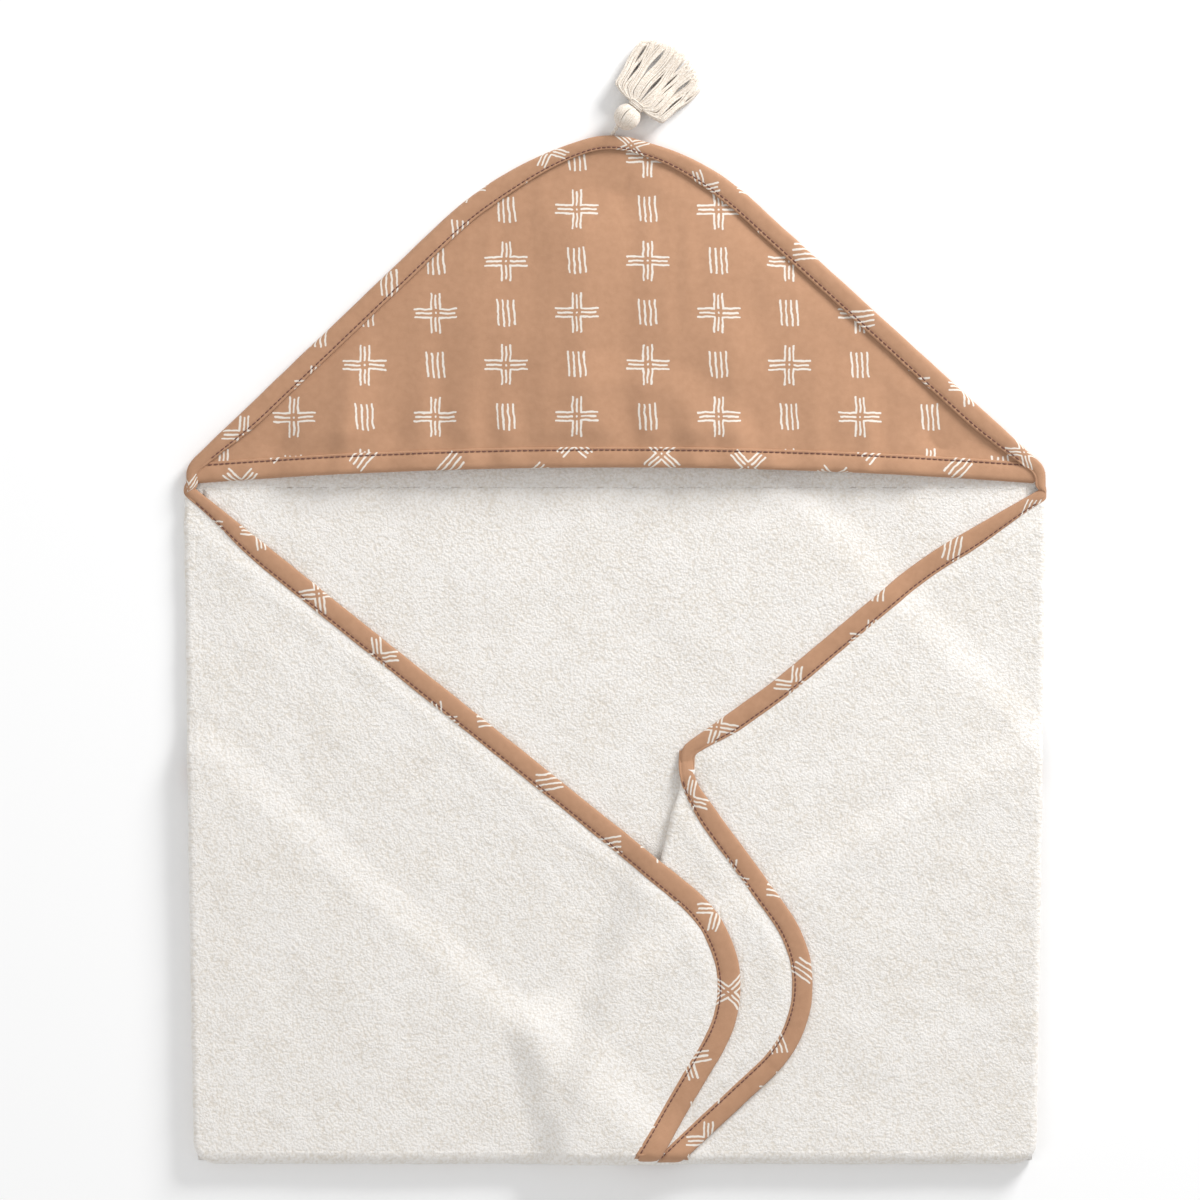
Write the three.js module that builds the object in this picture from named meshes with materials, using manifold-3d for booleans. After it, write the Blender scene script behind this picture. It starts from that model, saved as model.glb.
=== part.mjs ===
// A hooded baby towel, laid flat on its back and folded for display: a square of terry cloth
// turned onto its corner, with a printed hood over the top corner, both side corners folded in
// over the front, the right one turned back on itself, and the bottom corner tucked underneath.
// Millimetres. X runs across, Y from the bottom fold to the hood's tip, Z up from the table.
import * as THREE from "three";
import { mergeVertices } from "three/addons/utils/BufferGeometryUtils.js";
import Module from "manifold-3d";

const wasm = await Module();
wasm.setup();

// The flat cut and how it is folded
const CUT = 750; // side of the square towel
const CORNER = 70; // radius of its rounded corners
const NECK = 370; // height of the line where the hood meets the folded body
const HALF_NECK = 237; // half width across the side folds, at the neck
const HALF_FOOT = 231; // and at the bottom fold
const LENGTH = 615; // bottom fold to the end of the tassel
const TIP = 564; // bottom fold to the hood's tip
const TIP_ANGLE = 15; // slope of the hood's edge at its tip, in degrees
const HOOD_ANGLE = 44; // slope of its straight sides
const HOOD_BEND = 257; // radius that joins the two slopes
const HOOD_LEAN = -4; // how far the tip lies to the left of the centre

// The cloth and what is sewn to it
const TERRY = 2.4; // thickness
const PITCH = 2.8; // one layer of terry and the air over it
const TAPE = 11; // width of the binding that shows
const TAPE_WALL = 0.5;
const TONGUE = [0.8, 1.3]; // the pressed edge of the terry, inside the binding
const TAPE_RISE = [0.1, 2.0]; // the binding's lowest and highest face, above its layer
const THREAD = 0.7; // width of a row of stitches
const THREAD_RISE = [2.15, 2.45];
const STITCH_IN = 9.6; // from the bound edge to the stitches
const GAP = 0.3; // between pieces that touch
const LINING = [2.8, 4.4]; // the hood's lining, above the terry corner's underside
const PANEL = [4.7, 5.3]; // the hood's printed panel
const HOOD_TAPE = 6.1; // thickness of the binding round the hood, which holds all three
const POCKET = 6; // how far the hood stands open at its middle
const SEWN = 40; // and how far from its sewn sides that begins

// The grid that every layer is draped on
const CELL = 27;
const CELLS_X = 20;
const CELLS_Y = 25;
const PLATEAU = 39; // a layer keeps its height this far past what it lies on
const FALL = 30; // and comes down over this much more

const radians = THREE.MathUtils.degToRad;
const smooth = THREE.MathUtils.smoothstep;

// ---- outlines: lists of [x, y], some with a corner radius as a third number ----

// The points of a path with its corners rounded.
function rounded(corners) {
  const points = [];
  corners.forEach(([x, y, r], i) => {
    const here = new THREE.Vector2(x, y);
    if (!r) return points.push(here);
    const before = new THREE.Vector2(corners[i - 1][0], corners[i - 1][1]).sub(here).normalize();
    const after = new THREE.Vector2(corners[i + 1][0], corners[i + 1][1]).sub(here).normalize();
    const turn = Math.PI - before.angleTo(after);
    const middle = before.clone().add(after).normalize();
    const centre = here.clone().addScaledVector(middle, r / Math.cos(turn / 2));
    const start = here.clone().addScaledVector(before, r * Math.tan(turn / 2)).sub(centre);
    const sense = Math.sign(before.cross(after)) * -1;
    const steps = Math.max(2, Math.ceil(turn / radians(12)));
    for (let k = 0; k <= steps; k++) {
      const spoke = start.clone().rotateAround(new THREE.Vector2(), (sense * turn * k) / steps);
      points.push(centre.clone().add(spoke));
    }
  });
  return points.filter((p, i) => i === 0 || p.distanceTo(points[i - 1]) > 0.05);
}

// A path moved to its right by a distance, with its ends drawn out by `reach`.
function inset(path, distance, reach = 0) {
  return path.map((point, i) => {
    const along = path[Math.min(i + 1, path.length - 1)].clone().sub(path[Math.max(i - 1, 0)]);
    const before = i ? point.clone().sub(path[i - 1]).normalize() : along.clone().normalize();
    const after =
      i < path.length - 1 ? path[i + 1].clone().sub(point).normalize() : before.clone();
    const right = before.clone().add(after).normalize();
    const widen = 1 / Math.sqrt((1 + before.dot(after)) / 2);
    const end = i === 0 ? -reach : i === path.length - 1 ? reach : 0;
    return new THREE.Vector2(
      point.x + right.y * distance * widen + right.x * end,
      point.y - right.x * distance * widen + right.y * end,
    );
  });
}

// The strip between two distances inside a path.
const strip = (path, near, far, reach = 30) => [
  ...inset(path, near, reach),
  ...inset(path, far, reach).reverse(),
];

// The side fold's place at a height.
const side = (y) => HALF_FOOT + ((HALF_NECK - HALF_FOOT) * y) / NECK;

function hoodEdge() {
  const reach = HOOD_BEND * Math.tan(radians((HOOD_ANGLE - TIP_ANGLE) / 2));
  const slope = radians(TIP_ANGLE);
  const shoulder = [reach * Math.cos(slope), TIP - reach * Math.sin(slope)];
  const drop = (HALF_NECK - shoulder[0]) * Math.tan(radians(HOOD_ANGLE));
  const right = [
    [shoulder[0], shoulder[1], HOOD_BEND],
    [HALF_NECK, shoulder[1] - drop, 14],
    [HALF_NECK, NECK + GAP, 0],
  ];
  const left = right.map(([x, y, r]) => [-x, y, r]).reverse();
  const path = rounded([...left, [0, TIP, 0], ...right]);
  path.forEach((p) => (p.x += (HOOD_LEAN * (p.y - NECK)) / (TIP - NECK)));
  return path;
}

// Where the folded corners lie. A turned corner is the flat cut's corner, mirrored in its fold.
const FOOT = GAP; // the layers stop just short of the bottom fold's axis
const LEFT_FOOT = [20.4, FOOT]; // the left flap's bound edge at the bottom fold
const LEFT_CORNER = [85.8, 112.7, CORNER];
const CREASE_TOP = [38.5, 232.5]; // where the right flap is turned back
const CREASE_FOOT = [-20.7, FOOT];
const CREASE_END = [-38.7, 70.8]; // where the crease meets the edge, under the towel
const LAPEL_CORNER = [128.7, 92.2, CORNER];
const LAPEL_FOOT = [34, FOOT];
const TUCK_SIDE = 229;
const TUCK_TOP = CUT * Math.SQRT2 - 608.9; // the hidden corner, before it is rounded
const TUCK_KNEE = TUCK_TOP - TUCK_SIDE;

const hoodPath = hoodEdge();
const leftPath = rounded([[-side(NECK), NECK - GAP], LEFT_CORNER, LEFT_FOOT]);
const rightPath = rounded([CREASE_TOP, [side(NECK), NECK - GAP]]);
const lapelPath = rounded([[37, 227], LAPEL_CORNER, LAPEL_FOOT]);
const tuckPath = rounded([
  [-TUCK_SIDE, TUCK_KNEE],
  [0, TUCK_TOP, CORNER],
  [TUCK_SIDE, TUCK_KNEE],
]);
const leftTuckPath = rounded([[-TUCK_SIDE, TUCK_KNEE - 3], [20, FOOT]]);
const rightTuckPath = rounded([CREASE_END, [TUCK_SIDE, TUCK_KNEE - 3]]);
const lapelTuckPath = rounded([CREASE_END, LAPEL_FOOT]);

const at = (x, y) => new THREE.Vector2(x, y);
const outlines = {
  leftTuck: [...leftTuckPath, at(-TUCK_SIDE, FOOT)],
  lapelTuck: [...lapelTuckPath, at(...CREASE_FOOT)],
  rightTuck: [...rightTuckPath, at(TUCK_SIDE, FOOT), at(...CREASE_FOOT)],
  tuck: [...tuckPath, at(TUCK_SIDE, FOOT), at(-TUCK_SIDE, FOOT)],
  body: [
    at(-side(NECK), NECK - GAP),
    at(side(NECK), NECK - GAP),
    at(side(0), FOOT),
    at(-side(0), FOOT),
  ],
  hood: hoodPath,
  rightFlap: [...rightPath, at(side(0), FOOT), at(...CREASE_FOOT)],
  lapel: [...lapelPath, at(...CREASE_FOOT)],
  leftFlap: [...leftPath, at(-side(0), FOOT)],
};

// ---- the drape: each layer lies on all the layers under it ----

function distanceTo(outline, x, y) {
  let inside = false;
  let nearest = Infinity;
  outline.forEach((a, i) => {
    const b = outline[(i + 1) % outline.length];
    if (a.y > y !== b.y > y && x < a.x + ((b.x - a.x) * (y - a.y)) / (b.y - a.y)) inside = !inside;
    const along = b.clone().sub(a);
    const t = THREE.MathUtils.clamp(at(x, y).sub(a).dot(along) / along.lengthSq(), 0, 1);
    nearest = Math.min(nearest, a.clone().addScaledVector(along, t).distanceTo(at(x, y)));
  });
  return inside ? 0 : nearest;
}

const covers = (outline) => (x, y) =>
  1 - smooth(distanceTo(outline, x, y), PLATEAU, PLATEAU + FALL);

// How high a layer lies: one pitch for each layer under it.
const layer = (...under) => {
  const counts = under.map((name) => covers(outlines[name]));
  return (x, y) => PITCH * counts.reduce((sum, count) => sum + count(x, y), 0);
};
const tuckLayers = ["leftTuck", "lapelTuck", "rightTuck"];
const height = {
  leftTuck: layer(),
  lapelTuck: layer("leftTuck"),
  rightTuck: layer("leftTuck", "lapelTuck"),
  tuck: layer(...tuckLayers),
  back: layer(...tuckLayers, "tuck"),
  rightFlap: layer(...tuckLayers, "tuck", "body"),
  lapel: layer(...tuckLayers, "tuck", "body", "rightFlap"),
  leftFlap: layer(...tuckLayers, "tuck", "body", "rightFlap", "lapel"),
};

// The hood stands off the terry under it, but not along its sewn sides.
const sewn = [...inset(hoodPath, -60), ...hoodPath.slice().reverse()];
const pocket = (x, y) =>
  height.back(x, y) + POCKET * smooth(distanceTo(sewn, x, y), SEWN, SEWN + 50);

// ---- solids ----

function solidOf(geometry) {
  geometry.deleteAttribute("normal");
  geometry.deleteAttribute("uv");
  const merged = mergeVertices(geometry, 1e-4);
  return new wasm.Manifold(
    new wasm.Mesh({
      numProp: 3,
      vertProperties: new Float32Array(merged.attributes.position.array),
      triVerts: new Uint32Array(merged.index.array),
    }),
  );
}

function geometryOf(solid) {
  const { numProp, vertProperties, triVerts } = solid.simplify(0.02).getMesh();
  const positions = new Float32Array((vertProperties.length / numProp) * 3);
  for (let i = 0; i < positions.length / 3; i++)
    positions.set(vertProperties.subarray(i * numProp, i * numProp + 3), i * 3);
  const geometry = new THREE.BufferGeometry();
  geometry.setAttribute("position", new THREE.BufferAttribute(positions, 3));
  geometry.setIndex(new THREE.BufferAttribute(triVerts, 1));
  geometry.computeVertexNormals();
  return geometry;
}

// An upright block with an outline, taller than the towel.
function prism(outline) {
  const geometry = new THREE.ExtrudeGeometry(new THREE.Shape(outline), {
    depth: 80,
    bevelEnabled: false,
  });
  return solidOf(geometry.translate(0, 0, -20));
}

// A sheet over the whole grid, between two heights that vary with place.
function sheet(low, high) {
  const nx = CELLS_X + 1;
  const ny = CELLS_Y + 1;
  const positions = [];
  for (const face of [low, high])
    for (let j = 0; j < ny; j++)
      for (let i = 0; i < nx; i++) {
        const x = (i - CELLS_X / 2) * CELL;
        const y = (j - 1) * CELL;
        positions.push(x, y, face(x, y));
      }
  const bottom = (i, j) => j * nx + i;
  const top = (i, j) => nx * ny + bottom(i, j);
  const faces = [];
  const quad = (a, b, c, d) => faces.push(a, b, c, a, c, d);
  for (let j = 0; j < CELLS_Y; j++)
    for (let i = 0; i < CELLS_X; i++) {
      quad(top(i, j), top(i + 1, j), top(i + 1, j + 1), top(i, j + 1));
      faces.push(bottom(i, j), bottom(i + 1, j + 1), bottom(i + 1, j));
      faces.push(bottom(i, j), bottom(i, j + 1), bottom(i + 1, j + 1));
    }
  for (let i = 0; i < CELLS_X; i++) {
    quad(bottom(i, 0), bottom(i + 1, 0), top(i + 1, 0), top(i, 0));
    quad(bottom(i + 1, CELLS_Y), bottom(i, CELLS_Y), top(i, CELLS_Y), top(i + 1, CELLS_Y));
  }
  for (let j = 0; j < CELLS_Y; j++) {
    quad(bottom(0, j + 1), bottom(0, j), top(0, j), top(0, j + 1));
    quad(bottom(CELLS_X, j), bottom(CELLS_X, j + 1), top(CELLS_X, j + 1), top(CELLS_X, j));
  }
  const geometry = new THREE.BufferGeometry();
  geometry.setAttribute("position", new THREE.Float32BufferAttribute(positions, 3));
  geometry.setIndex(faces);
  return solidOf(geometry);
}

// A slab that follows a height, from `from` to `to` above it.
const slab = (lies, [from, to]) =>
  sheet(
    (x, y) => lies(x, y) + from,
    (x, y) => lies(x, y) + to,
  );

// Terry with a pressed edge that goes into its binding.
function terry(lies, outline, path) {
  const region = prism(outline);
  const whole = slab(lies, [0, TERRY]).intersect(region);
  const edge = slab(lies, TONGUE).intersect(region);
  return whole
    .subtract(prism(strip(path, -TAPE, TAPE + GAP)))
    .add(edge.intersect(prism(strip(path, TAPE_WALL + GAP, TAPE + 2))));
}

// A binding folded over the edge: a channel that is open towards the cloth.
function binding(lies, outline, path) {
  const tape = slab(lies, TAPE_RISE).intersect(prism(outline));
  const channel = [TAPE_RISE[0] + TAPE_WALL - 0.1, TAPE_RISE[1] - TAPE_WALL + 0.1];
  return tape
    .intersect(prism(strip(path, 0, TAPE)))
    .subtract(slab(lies, channel).intersect(prism(strip(path, TAPE_WALL, TAPE + 2))));
}

// A row of stitches along the inner edge of a binding.
function stitches(lies, outline, path, rise = THREAD_RISE, from = STITCH_IN) {
  return slab(lies, rise)
    .intersect(prism(outline))
    .intersect(prism(strip(path, from, from + THREAD)));
}

// The terry that turns round a side fold, from the layer at `low` up to the layer at `high`.
function sideFold(low, high, outer, sense, path) {
  const wall = (y) => [at(sense * outer(y), y), at(sense * (outer(y) - TERRY), y)];
  const top = NECK - GAP;
  const [a, b] = wall(FOOT);
  const [c, d] = wall(top);
  return sheet(low, (x, y) => high(x, y) + TERRY)
    .intersect(prism(sense < 0 ? [a, b, d, c] : [b, a, c, d]))
    .subtract(prism(strip(path, -60, TAPE + GAP, 20)));
}

// ---- materials ----

const cream = new THREE.MeshStandardMaterial({ color: 0xece5da, roughness: 0.95 });
const clay = new THREE.MeshStandardMaterial({ color: 0xc8946f, roughness: 0.8 });
const thread = new THREE.MeshStandardMaterial({ color: 0x8a5a45, roughness: 0.7 });
const yarn = new THREE.MeshStandardMaterial({ color: 0xe6dccb, roughness: 0.85 });

const towel = new THREE.Group();

function add(name, solid, material) {
  const mesh = new THREE.Mesh(geometryOf(solid), material);
  mesh.name = name;
  towel.add(mesh);
}

// The pieces of a solid on the two sides of a fold line: to its left, and to its right.
function parted(solid, from, to) {
  const line = [at(...from), at(...to)];
  const far = 900;
  const left = prism([...inset(line, -GAP, far), ...inset(line, -far, far).reverse()]);
  const right = prism([...inset(line, GAP, far), ...inset(line, far, far).reverse()]);
  return [solid.intersect(left), solid.intersect(right)];
}

// A solid without the crumbs that a cut leaves.
const largest = (solid) =>
  solid.decompose().reduce((a, b) => (a.volume() > b.volume() ? a : b));

// A solid's separate bodies, from the highest on the towel to the lowest.
const bodies = (solid) => {
  const middle = (body) => {
    const box = body.boundingBox();
    return box.min[1] + box.max[1];
  };
  return solid.decompose().sort((a, b) => middle(b) - middle(a));
};

// ---- the body of the towel ----

const back = slab(height.back, [0, TERRY]).intersect(prism(outlines.body));
const clearOfFolds = (solid, outer) => {
  const trimmed = [
    at(-outer(NECK) + TERRY + GAP, NECK),
    at(outer(NECK) - TERRY - GAP, NECK),
    at(outer(0) - TERRY - GAP, 0),
    at(-outer(0) + TERRY + GAP, 0),
  ];
  return solid.intersect(prism(trimmed));
};
add("terry_back", clearOfFolds(back, side), cream);

// ---- the left flap, whose free edge folds back like a lapel ----

const LAPEL_START = 40; // along the bound edge from the side fold to the start of the fold line
const towardsCorner = at(...LEFT_CORNER).sub(leftPath[0]).normalize();
const foldTop = leftPath[0].clone().addScaledVector(towardsCorner, LAPEL_START);
const leftFold = [[foldTop.x, foldTop.y], LEFT_FOOT];

const leftTerry = terry(height.leftFlap, outlines.leftFlap, leftPath).add(
  sideFold(height.back, height.leftFlap, side, -1, leftPath),
);
const [leftLapel, leftFlap] = parted(leftTerry, ...leftFold);
add("terry_left_flap", largest(leftFlap), cream);
add("terry_left_lapel", largest(leftLapel), cream);

const leftTape = parted(binding(height.leftFlap, outlines.leftFlap, leftPath), ...leftFold);
add("binding_left_lapel", leftTape[0], clay);
const leftThread = parted(stitches(height.leftFlap, outlines.leftFlap, leftPath), ...leftFold);
add("stitches_left_lapel", leftThread[0], thread);
for (const [kind, solid, material] of [
  ["binding", leftTape[1], clay],
  ["stitches", leftThread[1], thread],
])
  bodies(solid).forEach((body, i) => add(`${kind}_left_${["upper", "lower"][i]}`, body, material));

// ---- the right flap, and the part of it that is turned back ----

add(
  "terry_right_flap",
  terry(height.rightFlap, outlines.rightFlap, rightPath).add(
    sideFold(height.back, height.rightFlap, side, 1, rightPath),
  ),
  cream,
);
add("binding_right_flap", binding(height.rightFlap, outlines.rightFlap, rightPath), clay);
const threadFrom = CREASE_TOP[0] + 12; // the stitches start clear of the turned-back part
add(
  "stitches_right_flap",
  stitches(height.rightFlap, outlines.rightFlap, rightPath).subtract(
    prism([at(0, 0), at(0, 300), at(threadFrom, 300), at(threadFrom, 0)]),
  ),
  thread,
);

const CORNER_FOLD = 71; // where the rounded corner of the turned-back part lifts
const cornerFold = [
  [CORNER_FOLD, 0],
  [CORNER_FOLD, 200],
];
const [lapelRest, lapelTip] = parted(terry(height.lapel, outlines.lapel, lapelPath), ...cornerFold);
add("terry_right_lapel", largest(lapelRest), cream);
add("terry_right_corner", lapelTip, cream);
const lapelTape = parted(binding(height.lapel, outlines.lapel, lapelPath), ...cornerFold);
add("binding_right_corner", lapelTape[1], clay);
const lapelThread = parted(stitches(height.lapel, outlines.lapel, lapelPath), ...cornerFold);
add("stitches_right_corner", lapelThread[1], thread);
for (const [kind, solid, material] of [
  ["binding", lapelTape[0], clay],
  ["stitches", lapelThread[0], thread],
])
  bodies(solid).forEach((body, i) => add(`${kind}_lapel_${["upper", "lower"][i]}`, body, material));

// ---- the bottom corner, folded under ----

for (const [name, lies, outline, path] of [
  ["tuck", height.tuck, outlines.tuck, tuckPath],
  ["left_tuck", height.leftTuck, outlines.leftTuck, leftTuckPath],
  ["right_tuck", height.rightTuck, outlines.rightTuck, rightTuckPath],
  ["lapel_tuck", height.lapelTuck, outlines.lapelTuck, lapelTuckPath],
]) {
  add("terry_" + name, bodies(terry(lies, outline, path)).at(0), cream);
  add("binding_" + name, binding(lies, outline, path), clay);
  add("stitches_" + name, stitches(lies, outline, path), thread);
}

// ---- the hood ----

add("terry_hood_corner", terry(height.back, outlines.hood, hoodPath), cream);

const MOUTH = 376; // the hood's front edge, at its ends
const MOUTH_RISE = 6; // and how much higher it is at the middle
const mouthY = (x) => MOUTH + MOUTH_RISE * (1 - (x / HALF_NECK) ** 2);
const mouthPath = [];
for (let x = HALF_NECK + 10; x >= -HALF_NECK - 10; x -= 2 * CELL)
  mouthPath.push(at(x, mouthY(x)));
mouthPath.reverse();
const behindMouth = (from) =>
  prism([...inset(mouthPath, -from), at(HALF_NECK + 10, TIP + 20), at(-HALF_NECK - 10, TIP + 20)]);
const withinTape = (from) => prism([...inset(hoodPath, from), at(0, NECK - 20)]);
const hoodRegion = prism(inset(hoodPath, TAPE_WALL + GAP));

const tongueOnly = (low, high) =>
  slab(pocket, [low, high]).intersect(hoodRegion).intersect(behindMouth(TAPE_WALL + GAP));
add(
  "hood_lining",
  slab(pocket, LINING)
    .intersect(hoodRegion)
    .intersect(behindMouth(TAPE + GAP))
    .add(tongueOnly(LINING[0] + 0.4, LINING[1])),
  cream,
);
add(
  "hood_panel",
  slab(pocket, PANEL).intersect(hoodRegion).intersect(behindMouth(TAPE_WALL + GAP)),
  clay,
);

const frontTape = [LINING[0] - 0.2, PANEL[1] + 0.2 + TAPE_WALL];
const frontChannel = [frontTape[0] + TAPE_WALL - 0.2, PANEL[1] + 0.2];
const insideHoodTape = withinTape(TAPE + GAP);
add(
  "hood_front_binding",
  slab(pocket, frontTape)
    .intersect(behindMouth(0))
    .subtract(behindMouth(TAPE))
    .intersect(insideHoodTape)
    .subtract(slab(pocket, frontChannel).intersect(behindMouth(TAPE_WALL))),
  clay,
);
add(
  "stitches_hood_front",
  slab(pocket, [frontTape[1] + 0.15, frontTape[1] + 0.45])
    .intersect(behindMouth(STITCH_IN))
    .subtract(behindMouth(STITCH_IN + THREAD))
    .intersect(insideHoodTape),
  thread,
);
add(
  "hood_edge_binding",
  slab(height.back, [0, HOOD_TAPE])
    .intersect(prism(outlines.hood))
    .intersect(prism(strip(hoodPath, 0, TAPE)))
    .subtract(
      slab(height.back, [TAPE_WALL, HOOD_TAPE - TAPE_WALL]).intersect(
        prism(strip(hoodPath, TAPE_WALL, TAPE + 2)),
      ),
    ),
  clay,
);
add(
  "stitches_hood_edge",
  stitches(height.back, outlines.hood, hoodPath, [HOOD_TAPE + 0.15, HOOD_TAPE + 0.45]),
  thread,
);

// ---- the tassel, lying on the table beyond the hood's tip ----

const HEAD = 7.2; // radius of the tassel's head
const CORD = 1.2; // thickness of its cord
const CORD_ANGLE = 42; // the way the cord leaves the tip, from +X
const SKIRT_ANGLE = 51; // and the way the yarns lie
const SKIRT_LENGTH = 38;
const SKIRT_WIDTH = 21; // half the width of the fanned yarns
const SKIRT_FLAT = 0.33; // how flat they lie
const NECK_RADIUS = 4;

const tip = at(HOOD_LEAN, TIP);
const cordLength = 13.6; // from the tip to the middle of the head
const headCentre = tip.clone().add(
  at(Math.cos(radians(CORD_ANGLE)), Math.sin(radians(CORD_ANGLE))).multiplyScalar(cordLength),
);

const place = (geometry, name, material, angle) => {
  const mesh = new THREE.Mesh(geometry, material);
  mesh.name = name;
  mesh.position.set(headCentre.x, headCentre.y, HEAD + 0.1);
  mesh.rotation.z = radians(angle - 90);
  towel.add(mesh);
};

// Profiles run along +Y from the head's centre, so they are turned to point along the yarns.
const turned = (profile, sides) =>
  new THREE.LatheGeometry(
    profile.map(([r, y]) => at(r, y)),
    sides,
  );

const bow = [];
for (let k = 0; k <= 8; k++) {
  const angle = (k / 8) * Math.PI;
  bow.push([Math.max(0, HEAD * Math.sin(angle)), -HEAD * Math.cos(angle)]);
}
bow[8][0] = 0;
place(turned(bow, 20), "tassel_head", yarn, SKIRT_ANGLE);

const wrap = [];
for (let k = 0; k <= 8; k++) {
  const angle = (k / 8) * 2 * Math.PI;
  wrap.push([NECK_RADIUS + 0.9 * Math.cos(angle), HEAD + 1.4 + 0.9 * Math.sin(angle)]);
}
place(turned(wrap, 20), "tassel_neck_wrap", yarn, SKIRT_ANGLE);

const start = HEAD + GAP;
const skirt = turned(
  [
    [0, start],
    [NECK_RADIUS - 1.4, start],
    [NECK_RADIUS - 1.4, start + 2.5],
    [9, start + 7],
    [17, start + 15],
    [SKIRT_WIDTH, start + 25],
    [SKIRT_WIDTH - 3, start + 33],
    [9, start + SKIRT_LENGTH - 1],
    [0, start + SKIRT_LENGTH],
  ],
  28,
);
const flatten = skirt.attributes.position;
for (let i = 0; i < flatten.count; i++) {
  const along = smooth(flatten.getY(i), start + 2.5, start + 12);
  flatten.setZ(i, flatten.getZ(i) * THREE.MathUtils.lerp(1, SKIRT_FLAT, along));
}
place(skirt, "tassel_skirt", yarn, SKIRT_ANGLE);

const cord = new THREE.ExtrudeGeometry(
  new THREE.Shape(
    new THREE.Path()
      .absarc(0, 0, CORD / 2, 0, 2 * Math.PI)
      .getPoints(4)
      .slice(0, -1),
  ),
  {
    steps: 4,
    bevelEnabled: false,
    extrudePath: new THREE.LineCurve3(
      new THREE.Vector3(tip.x + 0.6, tip.y + 0.8, 3),
      new THREE.Vector3(
        headCentre.x - (HEAD + GAP) * Math.cos(radians(CORD_ANGLE)),
        headCentre.y - (HEAD + GAP) * Math.sin(radians(CORD_ANGLE)),
        6,
      ),
    ),
  },
);
const cordMesh = new THREE.Mesh(cord, yarn);
cordMesh.name = "tassel_cord";
towel.add(cordMesh);

// The origin is under the middle of the folded towel, on the table.
towel.position.set(0, -LENGTH / 2, 0);

export default towel;
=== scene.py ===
# %% [markdown]
# # A hooded baby towel, folded for display
# The towel is one square of looped cotton terry with a printed hood, bound edges and a tassel.
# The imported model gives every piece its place. This script gives each one its cloth: it replaces
# the plain slabs with draped sheets, folded bindings, single stitches and loose yarns.

# %% Load the frame
import math

import bpy
import numpy as np
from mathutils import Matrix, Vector


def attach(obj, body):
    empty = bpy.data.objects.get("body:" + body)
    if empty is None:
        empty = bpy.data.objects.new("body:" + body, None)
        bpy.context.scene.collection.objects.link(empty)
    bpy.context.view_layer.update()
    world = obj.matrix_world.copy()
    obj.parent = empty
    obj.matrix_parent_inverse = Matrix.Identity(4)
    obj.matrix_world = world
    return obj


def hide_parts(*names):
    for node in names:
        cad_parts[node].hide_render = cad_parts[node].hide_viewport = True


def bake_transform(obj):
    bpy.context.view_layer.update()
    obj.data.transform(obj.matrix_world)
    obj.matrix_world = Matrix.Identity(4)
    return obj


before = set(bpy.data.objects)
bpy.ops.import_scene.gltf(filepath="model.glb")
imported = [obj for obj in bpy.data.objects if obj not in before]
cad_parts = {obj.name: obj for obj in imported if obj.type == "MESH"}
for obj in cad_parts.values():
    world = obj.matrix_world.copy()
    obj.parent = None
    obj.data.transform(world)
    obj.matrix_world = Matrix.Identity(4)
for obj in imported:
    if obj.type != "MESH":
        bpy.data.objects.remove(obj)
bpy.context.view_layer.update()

# %% [markdown]
# ## The folded shape, in millimetres
# A folded towel is a stack of layers. Its outlines are the flat cut's edges, mirrored in the
# folds. They are drawn here once, with X across and Y up from the bottom fold, so that each
# sheet, binding and row of stitches can follow the same edge.

# %% The towel's measurements
CUT = 750.0  # side of the square before it is folded
ABOVE_FOLD = 608.9  # how much of its diagonal lies above the bottom fold
NECK = 370.0  # height of the hood's lower side
HALF_NECK = 237.0
HALF_FOOT = 231.0
LENGTH = 615.0
TIP = 564.0
HOOD_TIP = (-2.5, 565.5)
CORNER = 70.0  # radius of the cut's rounded corners
TERRY = 2.6  # thickness of the cloth
HALF_TERRY = TERRY / 2
PITCH = 2.8  # height that each layer adds
EDGE_GAP = 0.9  # how far a sheet stops inside its binding's outer edge
STITCH_IN = 9.6  # from a binding's outer edge to its stitches
ROLL = 6.0  # reach of the turn along the bottom fold
POCKET = 6.0  # how far the hood's front stands off its back
CREASE_TOP = (38.5, 232.5)
CREASE_FOOT = (-20.7, 0.0)
CREASE_END = (-38.7, 70.8)
TUCK_SIDE = 229.0
TUCK_TOP = CUT * math.sqrt(2) - ABOVE_FOLD
TUCK_KNEE = TUCK_TOP - TUCK_SIDE


def ease(value, low, high):
    """Rises smoothly from 0 at low to 1 at high."""
    t = np.clip((value - low) / (high - low), 0, 1)
    return t * t * (3 - 2 * t)


def rounded(corners, step=4.0):
    """A path through corners (x, y, radius), with the corners rounded."""
    points = []
    for i, (x, y, r) in enumerate(corners):
        here = np.array([x, y])
        if r == 0:
            points.append(here)
            continue
        before = np.array(corners[i - 1][:2]) - here
        after = np.array(corners[i + 1][:2]) - here
        before = before / np.linalg.norm(before)
        after = after / np.linalg.norm(after)
        turn = math.pi - math.acos(np.clip(before @ after, -1, 1))
        middle = (before + after) / np.linalg.norm(before + after)
        centre = here + middle * r / math.cos(turn / 2)
        start = here + before * r * math.tan(turn / 2) - centre
        sense = -np.sign(before[0] * after[1] - before[1] * after[0])
        for k in range(int(turn * r / step) + 3):
            angle = sense * turn * k / (int(turn * r / step) + 2)
            c, s = math.cos(angle), math.sin(angle)
            points.append(centre + [c * start[0] - s * start[1], s * start[0] + c * start[1]])
    kept = [points[0]]
    for p in points[1:]:
        if np.linalg.norm(p - kept[-1]) > 0.05:
            kept.append(p)
    return np.array(kept)


def side(y):
    """Half the width across the side folds."""
    return HALF_FOOT + (HALF_NECK - HALF_FOOT) * y / NECK


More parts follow.
